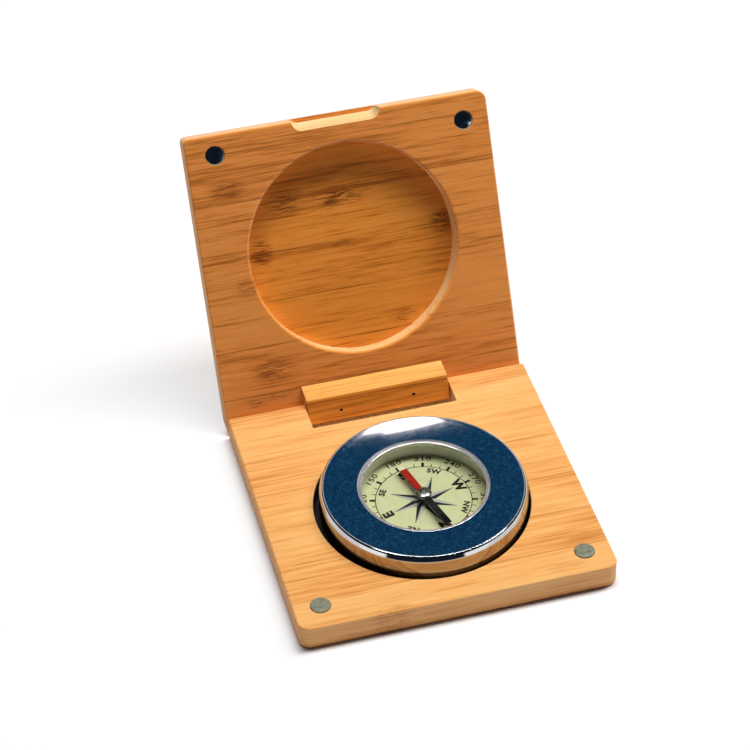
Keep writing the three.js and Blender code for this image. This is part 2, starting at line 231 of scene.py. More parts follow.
# %% Bamboo finish
def bamboo(name, grain, offset, colours, knuckles, coat=0.0, coat_roughness=0.25, fine=0.45, detail=4.0):
    finish = new_finish(name)
    local = grain_place(finish, *grain)
    along, across, through = node(finish, "SeparateXYZ", {0: local}).outputs
    strip, number = strip_of(finish, across, through, offset)
    own = node(finish, "TexWhiteNoise", {"W": number}, noise_dimensions="1D")
    mask = knuckle_mask(finish, local, knuckles)

    swirl = stretched_noise(finish, local, (0.22, 0.45, 0.45), 2.0)
    bend = maths(finish, "MULTIPLY", maths(finish, "SUBTRACT", swirl, 0.5), mask, 2.2)
    aside = maths(finish, "ADD", across, bend)
    bent = node(finish, "CombineXYZ", {0: along, 1: aside, 2: through}).outputs[0]
    slide = vectors(finish, "MULTIPLY", own.outputs["Color"], (300, 40, 70))
    wood = vectors(finish, "ADD", bent, slide)

    cloud = stretched_noise(finish, wood, (0.022, 0.24, 0.24), 2.0)
    streak = stretched_noise(finish, wood, (0.040, 1.10, 1.10), detail, 0.6)
    fibre = stretched_noise(finish, wood, (0.11, 2.3, 2.3), 3.0, 0.6)
    tone = maths(finish, "ADD", maths(finish, "MULTIPLY", own.outputs["Value"], 0.16),
                 maths(finish, "MULTIPLY", cloud, 0.40), maths(finish, "MULTIPLY", streak, 0.75),
                 maths(finish, "MULTIPLY", maths(finish, "SUBTRACT", fibre, 0.5), fine))
    tone = maths(finish, "SUBTRACT", tone, maths(finish, "MULTIPLY", mask, 0.10))
    bands = node(finish, "ValToRGB", {"Fac": ramp(finish, tone, 0.30, 0.91)})
    stops = bands.color_ramp.elements
    stops[0].color, stops[1].color = colours["deep"], colours["pale"]
    stops.new(0.26).color = colours["dark"]
    stops.new(0.56).color = colours["middle"]
    plug(finish, bands.outputs["Color"], "Base Color")

    dash = stretched_noise(finish, bent, (0.18, 2.3, 2.3), 3.0, 0.65)
    dashes = maths(finish, "MULTIPLY", ramp(finish, dash, 0.47, 0.57), mask)
    tint_over(finish, maths(finish, "MULTIPLY", dashes, 0.85), colours["mark"])
    speck = stretched_noise(finish, wood, (0.13, 2.8, 2.8), 2.0)
    tint_over(finish, ramp(finish, speck, 0.66, 0.74, 0.0, 0.5), colours["deep"])
    fade = ramp(finish, stretched_noise(finish, wood, (0.03, 0.02, 0.02)), 0.40, 0.58)
    edge = maths(finish, "PINGPONG", strip, 0.5)
    seam = maths(finish, "MULTIPLY", ramp(finish, edge, 0.004, 0.026, 0.6, 0.0), fade)
    tint_over(finish, seam, colours["mark"])

    emboss(finish, maths(finish, "SUBTRACT", fibre, maths(finish, "MULTIPLY", dashes, 0.6)), 0.22, 0.00012)
    plug(finish, ramp(finish, fibre, 0.3, 0.7, 0.38, 0.52), "Roughness")
    tune(finish, {"Specular IOR Level": 0.25, "Coat Weight": coat, "Coat Roughness": coat_roughness})
    return finish


print("bamboo layers are", layer_height, "mm high")

# %% [markdown]
# On the short sides of a leaf the saw went square across the fibres. There the streaks are seen end on,
# and bamboo shows fine dark dots, the tubes that carried its sap, and a glue line between two layers.
# Noise would look like cork here, so the dots are the cells of a Voronoi texture, drawn out along X.

# %% End grain finish
def end_grain(name, grain, colours):
    finish = new_finish(name)
    local = grain_place(finish, *grain)
    cloud = stretched_noise(finish, local, (0.02, 0.22, 0.5), 2.0)
    ground = mixed(finish, ramp(finish, cloud, 0.3, 0.7), colours["dark"], colours["middle"])
    plug(finish, ground, "Base Color")
    pulled = vectors(finish, "MULTIPLY", local, (0.02, 2.4, 2.4))
    tube = node(finish, "TexVoronoi", {"Vector": pulled, "Scale": 1.0}).outputs["Distance"]
    dots = ramp(finish, tube, 0.10, 0.34, 0.55, 0.0)
    tint_over(finish, dots, colours["deep"])
    layer = layer_of(finish, node(finish, "SeparateXYZ", {0: local}).outputs["Z"])
    glue = ramp(finish, maths(finish, "PINGPONG", layer, 0.5), 0.01, 0.05, 0.45, 0.0)
    tint_over(finish, glue, colours["deep"])
    emboss(finish, dots, 0.2, 0.0001, invert=True)
    plug(finish, ramp(finish, cloud, 0.3, 0.7, 0.50, 0.62), "Roughness")
    tune(finish, {"Specular IOR Level": 0.25})
    return finish


print("end grain has a glue line every", layer_height, "mm")

# %% [markdown]
# The same bamboo is used all over, but the photograph shows it in several tones, so it is finished in
# several colours. The base is pale. The inner face of the lid is deeper, which is mostly painted shade,
# and its recess deepest, which is painted shade and bounce light, and each knuckle of the lid is stated
# where the photograph shows it. Where a cutter left fresh wood, in the recess wall, in the finger notch
# and round the mouth of the pocket, it is palest. This paleness is partly fresh wood and partly painted
# light: bounce light on the recess wall, light on the sides of the notch in the base, and a painted
# highlight on the rim of the pocket. The wall of the pocket carries painted shade, near black deep down
# and on its left, where the drum shades it. The varnish of the inner face is the shinier one: seen at
# a low angle, in the polished bezel, it mirrors the lamp. The outside of the lid, which the photograph
# doesn't show, is finished like the base.

# %% Bamboo colours
def tones(deep, dark, middle, pale, mark):
    """Colours of one bamboo from its deepest streak to its palest, and that of its knuckles."""
    named = {"deep": deep, "dark": dark, "middle": middle, "pale": pale, "mark": mark}
    return {name: (*colour, 1) for name, colour in named.items()}


base_colours = tones((0.60, 0.21, 0.042), (0.77, 0.325, 0.085), (0.90, 0.43, 0.135),
                     (0.95, 0.53, 0.19), (0.45, 0.13, 0.022))
# Deeper colours for the inner face and the edges of the lid: mostly painted shade of the leaning lid.
lid_shade_colours = tones((0.42, 0.115, 0.016), (0.66, 0.205, 0.034), (0.88, 0.305, 0.060),
                    (0.95, 0.36, 0.082), (0.24, 0.060, 0.009))
# Deeper colours for the recess: painted shade and bounce light of the recess floor.
recess_shade_colours = tones((0.38, 0.105, 0.010), (0.60, 0.180, 0.020), (0.81, 0.276, 0.036),
                       (0.89, 0.325, 0.050), (0.12, 0.028, 0.004))
# Pale colours for faces a cutter left: fresh wood, and partly painted light: bounce light on the recess
# wall, light on the notch sides and a highlight on the pocket rim.
cut_and_light_colours = tones((0.64, 0.30, 0.085), (0.80, 0.45, 0.16), (0.92, 0.59, 0.26),
                    (0.95, 0.68, 0.34), (0.45, 0.13, 0.022))
block_colours = tones((0.50, 0.17, 0.030), (0.72, 0.30, 0.055), (0.88, 0.43, 0.105),
                      (0.92, 0.51, 0.150), (0.35, 0.10, 0.018))
# The pale end-grain colours carry the same painted light.
cut_end_and_light_colours = {"deep": cut_and_light_colours["dark"], "dark": cut_and_light_colours["middle"],
                   "middle": cut_and_light_colours["pale"]}
print("bamboo comes in five sets of colours")

# %% Knuckles of base and lid
base_knuckles = [(36, -27, 6, 2.0, 0.5), (28, -36, 6, 1.8, 0.4), (-17, -38.6, 6, 2.5, 0.6)]
lid_knuckles = [(-31, -61.7, 5.5, 3.4, 0.9), (-15.5, -55, 6, 4.0, 0.9), (-1.5, -54.5, 10, 3.6, 1.0),
                (25, -43.3, 3.6, 4.6, 0.9), (-2, -41.9, 4.6, 1.8, 0.6), (-23.3, -43.1, 3.6, 4.6, 1.0),
                (-29.3, -35.7, 4, 2.8, 0.7), (-25.4, -12.9, 7.5, 4.0, 0.95), (-29, -5.5, 8, 2.0, 0.75),
                (11.9, -19.8, 4.6, 2.2, 0.9)]
front_knuckles = lid_knuckles[:1]
outer_knuckles = [(-22, -60, 7, 3.0, 0.8), (14, -47, 6, 2.6, 0.7), (-6, -22, 8, 2.8, 0.8),
                  (29, -12, 6, 3.0, 0.7)]
print("knuckles:", len(base_knuckles), "in the base,", len(lid_knuckles), "inside the lid")

# %% Bamboo of base, lid and block
lid_joint = next(j for j in frame["joints"] if j["name"] == "lid_hinge")
hinge = Vector(lid_joint["pos_m"]) * 1000
open_angle = math.radians(lid_joint["range_deg"][1])
base_grain = (0.0, (0, 0, 0))
lid_grain = (open_angle, -(Matrix.Rotation(open_angle, 3, "X") @ hinge))
calm = {"fine": 0.26, "detail": 2.5}

base_bamboo = bamboo("bamboo_base", base_grain, 7.0, base_colours, base_knuckles, 0.15, **calm)
# The mouth of the pocket and the sides of the notch: pale cut bamboo, partly painted light.
mouth_cut_and_highlight_bamboo = bamboo("bamboo_mouth_highlight", base_grain, 7.0, cut_and_light_colours, base_knuckles, **calm)
# The inner face of the lid takes the deeper colours, which are mostly painted shade.
lid_face_shade_bamboo = bamboo("bamboo_lid", lid_grain, 2.0, lid_shade_colours, lid_knuckles, 1.0, 0.09, 0.66)
tune(lid_face_shade_bamboo, {"Coat IOR": 1.7})
# The recess floor bamboo, in deeper colours that are painted shade.
recess_shade_bamboo = bamboo("bamboo_recess_shade", lid_grain, 2.0, recess_shade_colours, lid_knuckles, 0.5, 0.15, 0.66)
edge_bamboo = bamboo("bamboo_edge", lid_grain, 2.0, lid_shade_colours, lid_knuckles)
outer_bamboo = bamboo("bamboo_outer", lid_grain, 6.0, base_colours, outer_knuckles, 0.15, **calm)
# Pale cut bamboo for the recess wall and the finger notch: fresh wood, partly painted light.
cut_and_light_bamboo = bamboo("bamboo_cut_and_light", lid_grain, 2.0, cut_and_light_colours, front_knuckles, **calm)
# A darker copy of the block's bamboo for its front face: painted shade.
block_front_shade_bamboo = bamboo("bamboo_block_front_shade", lid_grain, 9.0, recess_shade_colours, front_knuckles, **calm)
block_bamboo = bamboo("bamboo_block", lid_grain, 9.0, block_colours, front_knuckles, 0.15, **calm)
base_ends = end_grain("bamboo_base_ends", base_grain, base_colours)
lid_ends = end_grain("bamboo_lid_ends", lid_grain, base_colours)
# End grain of the cut recess wall, in the pale colours that are partly painted light.
cut_and_light_ends = end_grain("bamboo_cut_and_light_ends", lid_grain, cut_end_and_light_colours)
print("bamboo made for base, lid and block")

# %% Pocket wall with painted shade
pocket_shade_bamboo = bamboo("bamboo_pocket_shade", base_grain, 7.0, base_colours, base_knuckles)
# Near-black painted shade: it darkens the pocket wall deep down, and on its left side, where the drum
# shades it.
shade_tone = (0.012, 0.005, 0.002, 1)
along, _, height = node(pocket_shade_bamboo, "SeparateXYZ", {0: object_place(pocket_shade_bamboo)}).outputs
# left holds the painted shade on the left side of the wall, and deep holds it low in the pocket.
left = ramp(pocket_shade_bamboo, along, -0.002, -0.018)
left = maths(pocket_shade_bamboo, "MULTIPLY", left, ramp(pocket_shade_bamboo, height, 0.0062, 0.0054, 0.0, 0.97))
deep = ramp(pocket_shade_bamboo, height, 0.0056, 0.0046, 0.0, 0.95)
tint_over(pocket_shade_bamboo, maths(pocket_shade_bamboo, "MAXIMUM", left, deep), shade_tone)
print("painted_shade bamboo made for the pocket")

# %% [markdown]
# ## Metals
# Polished chrome is almost all reflection, so its own nodes only add what makes it real: faint smears
# that dull the shine in places, and a slight unevenness of the plating. The lip round the crystal and the
# turned edge of the navy face are satin, so that they stay light from every side, and the drum is a
# little browner than the bezel. The magnets are nickel plated. Those in the base are worn dull and
# greenish, and those in the lid are still bright. The brads are blackened steel.

# %% Metal finishes
def metal(name, colour, spread, rough_low, rough_high, cell, metallic, unevenness):
    """Spread says how much darker the smears are, and a larger cell makes them smaller."""
    finish = new_finish(name)
    spot = object_place(finish)
    smear = stretched_noise(finish, spot, (cell, cell, cell), 4.0, 0.6)
    darker = tuple(c * (1 - spread) for c in colour)
    plug(finish, mixed(finish, ramp(finish, smear, 0.35, 0.65), (*darker, 1), (*colour, 1)), "Base Color")
    plug(finish, ramp(finish, smear, 0.3, 0.7, rough_low, rough_high), "Roughness")
    emboss(finish, stretched_noise(finish, spot, (cell * 3, cell * 3, cell * 3), 2.0), unevenness, 0.00005)
    tune(finish, {"Metallic": metallic})
    return finish


chrome = metal("chrome_polished", (0.55, 0.55, 0.555), 0.05, 0.03, 0.07, 260, 1.0, 0.04)
satin_chrome = metal("chrome_satin", (0.70, 0.70, 0.71), 0.12, 0.18, 0.26, 260, 0.6, 0.03)
wall_chrome = metal("chrome_wall", (0.46, 0.41, 0.37), 0.10, 0.04, 0.09, 260, 1.0, 0.05)
dull_nickel = metal("nickel_dull", (0.36, 0.37, 0.265), 0.40, 0.42, 0.58, 900, 0.35, 0.3)
bright_nickel = metal("nickel_bright", (0.50, 0.52, 0.56), 0.25, 0.06, 0.14, 700, 1.0, 0.06)
steel = metal("steel_drawn", (0.50, 0.50, 0.49), 0.3, 0.25, 0.4, 1200, 1.0, 0.15)
hub_steel = metal("steel_hub", (0.26, 0.25, 0.235), 0.4, 0.24, 0.38, 1500, 1.0, 0.1)
dark_steel = metal("steel_dark", (0.07, 0.04, 0.03), 0.4, 0.5, 0.7, 1500, 0.6, 0.2)
print("metals:", chrome.name, dull_nickel.name, bright_nickel.name, steel.name, hub_steel.name)

# %% [markdown]
# ## Lacquer, enamel, dial stock and glass
# The flat of the bezel is navy with a faint cloudy mottle under a hard clear layer that mirrors the
# lid. A high index of refraction gives that mirror without whitening the blue. The dial is pale green
# card, and the crystal is glass that lets lamp light straight through, or it would darken the dial.
# Light that the dial scatters back passes straight through as well, or the dial would get it twice.

# %% Lacquer and enamel finishes
def coloured(name, colour, other, cell, rough_low, rough_high):
    finish = new_finish(name)
    cloud = stretched_noise(finish, object_place(finish), (cell, cell, cell), 5.0, 0.65)
    plug(finish, mixed(finish, ramp(finish, cloud, 0.3, 0.7), (*colour, 1), (*other, 1)), "Base Color")
    plug(finish, ramp(finish, cloud, 0.3, 0.7, rough_low, rough_high), "Roughness")
    return finish


navy = coloured("navy_lacquer", (0.0008, 0.024, 0.080), (0.0030, 0.056, 0.140), 900, 0.05, 0.10)
mottle = stretched_noise(navy, object_place(navy), (1900, 1900, 1900), 2.0)
tint_over(navy, ramp(navy, mottle, 0.54, 0.70, 0.0, 0.65), (0.016, 0.17, 0.28, 1))
tune(navy, {"IOR": 3.2, "Coat Weight": 1.0, "Coat Roughness": 0.03, "Coat IOR": 2.5})
red_enamel = coloured("enamel_red", (0.43, 0.022, 0.008), (0.31, 0.012, 0.005), 800, 0.3, 0.4)
black_enamel = coloured("enamel_black", (0.006, 0.006, 0.006), (0.014, 0.013, 0.012), 800, 0.25, 0.4)
cream_enamel = coloured("enamel_cream", (0.80, 0.70, 0.52), (0.70, 0.58, 0.42), 800, 0.35, 0.45)
dial_card = coloured("dial_card", (0.595, 0.585, 0.325), (0.64, 0.63, 0.36), 500, 0.55, 0.7)
rim_plastic = coloured("capsule_plastic", (0.88, 0.865, 0.77), (0.92, 0.905, 0.81), 500, 0.35, 0.5)
ink = coloured("dial_ink", (0.010, 0.010, 0.008), (0.022, 0.021, 0.016), 2500, 0.5, 0.7)
grey_ink = coloured("dial_grey_ink", (0.40, 0.39, 0.38), (0.48, 0.47, 0.45), 2500, 0.5, 0.7)
# Black foam of the adhesive pad, which also stands in as painted shade on the floor of the gap round the
# drum.
foam_and_gap_shade = coloured("foam_dark_and_gap_shade", (0.02, 0.02, 0.02), (0.04, 0.04, 0.04), 3000, 0.8, 0.95)
for finish in (red_enamel, black_enamel, ink, grey_ink, dial_card):
    tune(finish, {"Specular IOR Level": 0.15})
print("lacquers and inks made")

# %% Glass
def two_shaders(finish, share, one, other):
    """Shows one shader where share is 0 and the other where it is 1."""
    choice = node(finish, "MixShader", {0: share, 1: one.outputs[0], 2: other.outputs[0]})
    end = finish.node_tree.nodes["Material Output"]
    finish.node_tree.links.new(choice.outputs[0], end.inputs["Surface"])


glass = new_finish("crystal_glass")
tune(glass, {"Base Color": (0.98, 1.0, 0.985, 1), "Roughness": 0.0, "IOR": 1.25,
             "Transmission Weight": 1.0})
path = node(glass, "LightPath")
clear = node(glass, "BsdfTransparent", {"Color": (0.96, 0.98, 0.965, 1)})
straight = maths(glass, "MAXIMUM", path.outputs["Is Shadow Ray"], path.outputs["Is Diffuse Ray"])
two_shaders(glass, straight, principled(glass), clear)
print("glass made")

# %% [markdown]
# ## Helpers for pieces
# A piece is shaped in a bmesh, in millimetres, and then handed over: the mesh is scaled to metres,
# put in its place, given its finishes and tied to the body it moves with. The weighted normals keep
# wide flat faces flat beside small rounded edges. A round piece is a profile spun about Z, and its
# sharp rings are bevelled afterwards.

# %% Handing over
sharp_angle = math.radians(40)


def box_mm(name):
    """Lowest and highest corner of a node, in millimetres."""
    return [corner * 1000 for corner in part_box(name)]


def hand_over(shape, name, body, finishes, stands_for=None, place=Matrix.Identity(4)):
    bmesh.ops.remove_doubles(shape, verts=shape.verts, dist=0.0005)
    bmesh.ops.dissolve_degenerate(shape, edges=shape.edges, dist=0.0002)
    shape.transform(Matrix.Scale(0.001, 4) @ place)
    mesh = bpy.data.meshes.new(name)
    for face in shape.faces:
        face.smooth = True
    shape.to_mesh(mesh)
    shape.free()
    for finish in finishes:
        mesh.materials.append(finish)
    mesh.set_sharp_from_angle(angle=sharp_angle)
    piece = bpy.data.objects.new(name, mesh)
    scene.collection.objects.link(piece)
    normals = piece.modifiers.new("even_normals", "WEIGHTED_NORMAL")
    normals.keep_sharp = True
    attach(piece, body)
    if stands_for:
        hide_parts(stands_for)
    print(name, "has", len(mesh.polygons), "faces")


print("pieces stay sharp past", round(math.degrees(sharp_angle)), "degrees")

# %% Piece helpers
def moved(shape, x, y, z=0):
    bmesh.ops.translate(shape, verts=shape.verts, vec=(x, y, z))
    return shape


def round_edges(shape, edges, radius, segments):
    bmesh.ops.bevel(shape, geom=edges, offset=radius, offset_type="OFFSET", affect="EDGES",
                    segments=segments, profile=0.5, material=-1, clamp_overlap=True)


def bevel_sharp(shape, ease):
    sharp = [e for e in shape.edges if e.is_manifold and e.calc_face_angle() > sharp_angle]
    round_edges(shape, sharp, ease, 3)


def turned(profile, steps=160, ease=0.0):
    """A piece turned about Z from (radius, height) points; a profile off the axis closes on itself."""
    shape = bmesh.new()
    spots = [shape.verts.new((radius, 0, height)) for radius, height in profile]
    lines = [shape.edges.new(pair) for pair in zip(spots, spots[1:])]
    if profile[0][0] > 0:
        lines.append(shape.edges.new((spots[-1], spots[0])))
    bmesh.ops.spin(shape, geom=spots + lines, cent=(0, 0, 0), axis=(0, 0, 1), angle=2 * math.pi,
                   steps=steps, use_merge=True)
    bmesh.ops.remove_doubles(shape, verts=shape.verts, dist=0.0005)
    bmesh.ops.recalc_face_normals(shape, faces=shape.faces)
    if ease:
        bevel_sharp(shape, ease)
    return shape


def rod(radius, low, high, steps, ease=0.0):
    """A round bar or disc about Z."""
    return turned([(0, low), (radius, low), (radius, high), (0, high)], steps, ease)


def bar(low, high):
    """A block between two corners."""
    shape = bmesh.new()
    bmesh.ops.create_cube(shape, size=1.0)
    size = Vector(high) - Vector(low)
    bmesh.ops.scale(shape, verts=shape.verts, vec=size)
    return moved(shape, *(Vector(low) + Vector(high)) / 2)


def slice_off(shape, point, normal):
    """Takes away what lies beyond a plane and closes the cut."""
    halves = bmesh.ops.bisect_plane(shape, geom=shape.verts[:] + shape.edges[:] + shape.faces[:],
                                    dist=0.0001, plane_co=point, plane_no=normal, clear_outer=True)
    rim = [e for e in halves["geom_cut"] if isinstance(e, bmesh.types.BMEdge)]
    bmesh.ops.edgenet_fill(shape, edges=rim)
    bmesh.ops.recalc_face_normals(shape, faces=shape.faces)


print("piece helpers ready")

# %% [markdown]
# ## Cutting wells and holes
# A round pocket with an eased mouth could be inset and extruded from the top face, but a leaf has six
# cuts that cross its flat faces in different places. A Boolean keeps each cut exact: the cutter is
# turned with a flared mouth, so that it leaves the eased rim, and the result is stored as plain mesh.

# %% Cutting helper
def combine(shape, others, operation, finishes=()):
    """Cuts the others from a shape or joins them to it; the finishes keep the faces apart."""
    items = []
    for item_shape in [shape] + others:
        item = bpy.data.objects.new("blank", bpy.data.meshes.new("blank"))
        item_shape.to_mesh(item.data)
        for finish in finishes:
            item.data.materials.append(finish)
        scene.collection.objects.link(item)
        items.append(item)
    body = items[0]
    for other, tool in zip(others, items[1:]):
        other.free()
        step = body.modifiers.new("step", "BOOLEAN")
        step.operation, step.solver, step.object = operation, "EXACT", tool
    graph = bpy.context.evaluated_depsgraph_get()
    whole = bpy.data.meshes.new_from_object(body.evaluated_get(graph))
    shape.clear()
    shape.from_mesh(whole)
    for item in items:
        bpy.data.objects.remove(item)
    shape.normal_update()
    return shape


def well(radius, floor, mouth, ease, steps=160):
    """Cutter for a blind round well that opens upward, with a rounded mouth."""
    flare = [(radius + ease * (1 - math.cos(a)), mouth - ease + ease * math.sin(a))
             for a in (i * math.pi / 8 for i in range(5))]
    above = mouth + 2
    return turned([(0, floor), (radius, floor)] + flare + [(radius + ease, above), (0, above)], steps)


def bore(radius, start, end, place):
    """Cutter for a round hole along X."""
    shape = rod(radius, start, end, 32)
    bmesh.ops.rotate(shape, verts=shape.verts, cent=(0, 0, 0), matrix=Matrix.Rotation(math.pi / 2, 3, "Y"))
    return moved(shape, *place)


print("cutting helpers ready")

# %% [markdown]
# ## The two leaves
# Both leaves start as the same block: two front corners are rounded with a wide bevel, and then every
# edge is eased with a narrow one, the way a sanding block would. A plane cuts the heel of the lid to
# the angle at which it rests on the table. The floor of the finger notch rises towards a thin lip, so
# its cutter is sheared.

# %% Leaf blank
leaf_thickness = 6.5
edge_ease = 0.5


def round_corner(shape, side, radius):
    """Rounds the front corner on one side of a leaf."""
    front = min(v.co.y for v in shape.verts)
    corner = [e for e in shape.edges if abs(e.verts[0].co.z - e.verts[1].co.z) > 1
              and all(v.co.y < front + 0.01 and v.co.x * side > 20 for v in e.verts)]
    round_edges(shape, corner, radius, 10)


def leaf_blank(half_width, front, rear, low, left_radius, right_radius):
    shape = bar((-half_width, front, low), (half_width, rear, low + leaf_thickness))
    round_corner(shape, -1, left_radius)
    round_corner(shape, 1, right_radius)
    bevel_sharp(shape, edge_ease)
    return shape


base_low, base_high = box_mm("base_plate")
half_width = base_high.x
print("base leaf spans", [round(v, 2) for v in base_high - base_low], "mm")

# %% Base cutters
compass_low, compass_high = box_mm("compass_housing")
housing_flare = 0.4
compass_radius = (compass_high.x - compass_low.x) / 2 - housing_flare
pocket_middle = -4.0
pocket_room = 1.2
pocket_depth = 4.7
pocket_radius = compass_radius + pocket_room
pocket_floor = leaf_thickness - pocket_depth
pocket_ease = 0.4
block_shift = -0.35
notch_half = 19.3
notch_front = base_high.y - 9.6
magnet_hole = 2.56
hole_ease = 0.1
hole_spare = 0.3
pin_hole = 0.95

cutters = [moved(well(pocket_radius, pocket_floor, leaf_thickness, pocket_ease), 0, pocket_middle),
           bar((block_shift - notch_half, notch_front, -1),
               (block_shift + notch_half, base_high.y + 1, leaf_thickness + 1))]
for side in ("left", "right"):
    low, high = box_mm("base_magnet_" + side)
    middle = (low + high) / 2
    hole = well(magnet_hole, low.z - hole_spare, leaf_thickness, hole_ease, 48)
    cutters.append(moved(hole, middle.x, middle.y))
    low, high = box_mm("hinge_pin_" + side)
    cutters.append(bore(pin_hole, low.x - hole_spare, high.x + hole_spare, (0, hinge.y, hinge.z)))
print(len(cutters), "cutters for the base")

# %% Base leaf
corner_radius = 3.0
square_on = 0.9
level = 0.95
cheek_end = 25
base_finishes = [base_bamboo, pocket_shade_bamboo, mouth_cut_and_highlight_bamboo, base_ends]

leaf = leaf_blank(half_width, base_low.y, base_high.y, 0, corner_radius, corner_radius)
leaf = combine(leaf, cutters, "DIFFERENCE")
for face in leaf.faces:
    middle, facing = face.calc_center_median(), face.normal
    reach = math.hypot(middle.x, middle.y - pocket_middle)
    wall = reach < pocket_radius + 0.1 and 1 < middle.z < leaf_thickness - 0.3
    mouth = reach < pocket_radius + pocket_ease and middle.z > 1 and facing.z < level
    across_grain = abs(facing.x) > square_on
    cheek = across_grain and middle.y > notch_front and abs(middle.x) < cheek_end
    # The pocket wall takes the bamboo with painted shade.
    if wall:
        finish = pocket_shade_bamboo
    # The mouth and the sides of the notch take the pale bamboo: a painted highlight on the rim, painted
    # light on the sides.
    elif mouth or cheek:
        finish = mouth_cut_and_highlight_bamboo
    else:
        finish = base_ends if across_grain and abs(middle.x) > half_width - 1 else base_bamboo
    face.material_index = base_finishes.index(finish)
hand_over(leaf, "base_leaf", "base", base_finishes, "base_plate")

# %% [markdown]
# The lid is shaped shut and flat, about the hinge axis, because its cuts are simplest to state there.
# One matrix then leans it open into its place in the frame.

# %% Lid cutters
lid_place = Matrix.Translation(hinge) @ Matrix.Rotation(-open_angle, 4, "X")
lid_rear = 1.7
lid_front = lid_rear - 78.0
lid_low = 3.3
lid_high = lid_low + leaf_thickness
recess_middle = lid_front + 35.0
recess_depth = 5.4
recess_room = 0.3
recess_ease = 0.8
finger_half = 11.7
finger_depth = 2.7
finger_lip = 1.6
finger_slope = 1.6 / 4.9


def under_lid(cutter, x, y):
    """Turns a cutter that opens upward over, so that it opens on the underside of the lid."""
    cutter.transform(Matrix.Translation((x, y, lid_low)) @ Matrix.Rotation(math.pi, 4, "X"))
    return cutter


recess = well(pocket_radius + recess_room, -recess_depth, 0, recess_ease)
finger = bar((-finger_half, lid_front - 3, lid_low - 1),
             (finger_half, lid_front + finger_depth, lid_high - finger_lip))
inner = [e for e in finger.edges if all(v.co.y > lid_front for v in e.verts)
         and abs(e.verts[0].co.z - e.verts[1].co.z) > 1]
round_edges(finger, inner, finger_depth, 8)
for vert in finger.verts:
    vert.co.y -= (vert.co.z - lid_low) * finger_slope
cutters = [under_lid(recess, 0, recess_middle), finger]
print("recess and finger notch shaped")

# %% Lid holes
into_lid = lid_place.inverted()
magnet_hole_depth = 3.1
lid_magnets = {}
for side in ("left", "right"):
    low, high = box_mm("lid_magnet_" + side)
    middle = into_lid @ ((low + high) / 2)
    lid_magnets[side] = middle
    cutters.append(under_lid(well(magnet_hole, -magnet_hole_depth, 0, hole_ease, 48), middle.x, middle.y))
brad_spots = {"left": (-10.55, -0.7), "right": (9.05, -1.2)}
brad_hole = 0.45
brad_depth = 3.3
for spot in brad_spots.values():
    cutters.append(moved(rod(brad_hole, lid_low - 1, lid_low + brad_depth, 32), *spot))
print(len(cutters), "cutters for the lid")

# %% Lid leaf
lean = open_angle - math.pi / 2
heel_land = 0.745
lid_corners = (1.4, 2.6)
lid_finishes = [lid_face_shade_bamboo, cut_and_light_bamboo, recess_shade_bamboo, edge_bamboo, outer_bamboo, lid_ends, cut_and_light_ends]

leaf = leaf_blank(half_width, lid_front, lid_rear, lid_low, *lid_corners)
slice_off(leaf, (0, lid_rear, lid_low + heel_land), (0, math.cos(lean), math.sin(lean)))
leaf = combine(leaf, cutters, "DIFFERENCE")
for face in leaf.faces:
    middle, facing = face.calc_center_median(), face.normal
    reach = math.hypot(middle.x, middle.y - recess_middle)
    upright = abs(facing.z) < 0.5
    heel = facing.y > 0.5 and middle.y > lid_rear - 6
    front = facing.y < -square_on and middle.y < lid_front + 0.05
    front_corner = upright and abs(middle.x) > 30 and middle.y < lid_front + 3
    if abs(facing.x) > square_on and abs(middle.x) > half_width - 1:
        finish = lid_ends
    elif heel or front or front_corner:
        finish = outer_bamboo
    # Upright cut faces take the pale cut bamboo, which is partly painted light.
    elif upright and abs(middle.x) < half_width - 0.5:
        finish = cut_and_light_ends if abs(facing.x) > 0.75 and reach < pocket_radius + 1 else cut_and_light_bamboo
    elif abs(facing.z) < level:
        finish = edge_bamboo
    # The recess floor takes the deeper bamboo with painted shade.
    elif reach < pocket_radius and lid_low + 1 < middle.z < lid_high - 1:
        finish = recess_shade_bamboo
    else:
        finish = outer_bamboo if middle.z > lid_high - 0.1 else lid_face_shade_bamboo
    face.material_index = lid_finishes.index(finish)
hand_over(leaf, "lid_leaf", "lid", lid_finishes, "lid_plate", lid_place)

# %% [markdown]
# ## Hinge block, pins and brads
# The block is glued to the foot of the lid and swings in the notch of the base. Its front slopes, so
# that it clears the notch, and one plane cut gives that slope. Two steel pins carry it and two brads
# hold it to the lid.

# %% Hinge block
block_half = 19.0
block_top = 3.0
block_bottom = -2.4
block_front = lid_rear - 9.3
block_ease = 0.25
block_bore = 1.05
bore_depth = 4.8
block_finishes = [block_bamboo, block_front_shade_bamboo]

block = bar((block_shift - block_half, block_front, block_bottom),
            (block_shift + block_half, lid_rear, block_top))
slice_off(block, (0, block_front, block_top), (0, -math.cos(lean), -math.sin(lean)))
crisp = [e for e in block.edges if all(v.co.y > lid_rear - 0.01 and v.co.z < block_bottom + 0.01
                                       for v in e.verts)]
round_edges(block, [e for e in block.edges if e not in crisp], block_ease, 2)
cutters = []
for side, sign in (("left", -1), ("right", 1)):
    ends = sorted((sign * (block_half - bore_depth), sign * (block_half + 1)))
    cutters.append(bore(block_bore, *ends, (block_shift, 0, 0)))
    cutters.append(moved(rod(brad_hole, block_bottom - 1, block_top + 1, 32), *brad_spots[side]))
block = combine(block, cutters, "DIFFERENCE")
for face in block.faces:
    # The front face of the block takes the darker copy with painted shade.
    finish = block_front_shade_bamboo if face.normal.z < -square_on else block_bamboo
    face.material_index = block_finishes.index(finish)
hand_over(block, "hinge_bar", "lid", block_finishes, "hinge_block", lid_place)

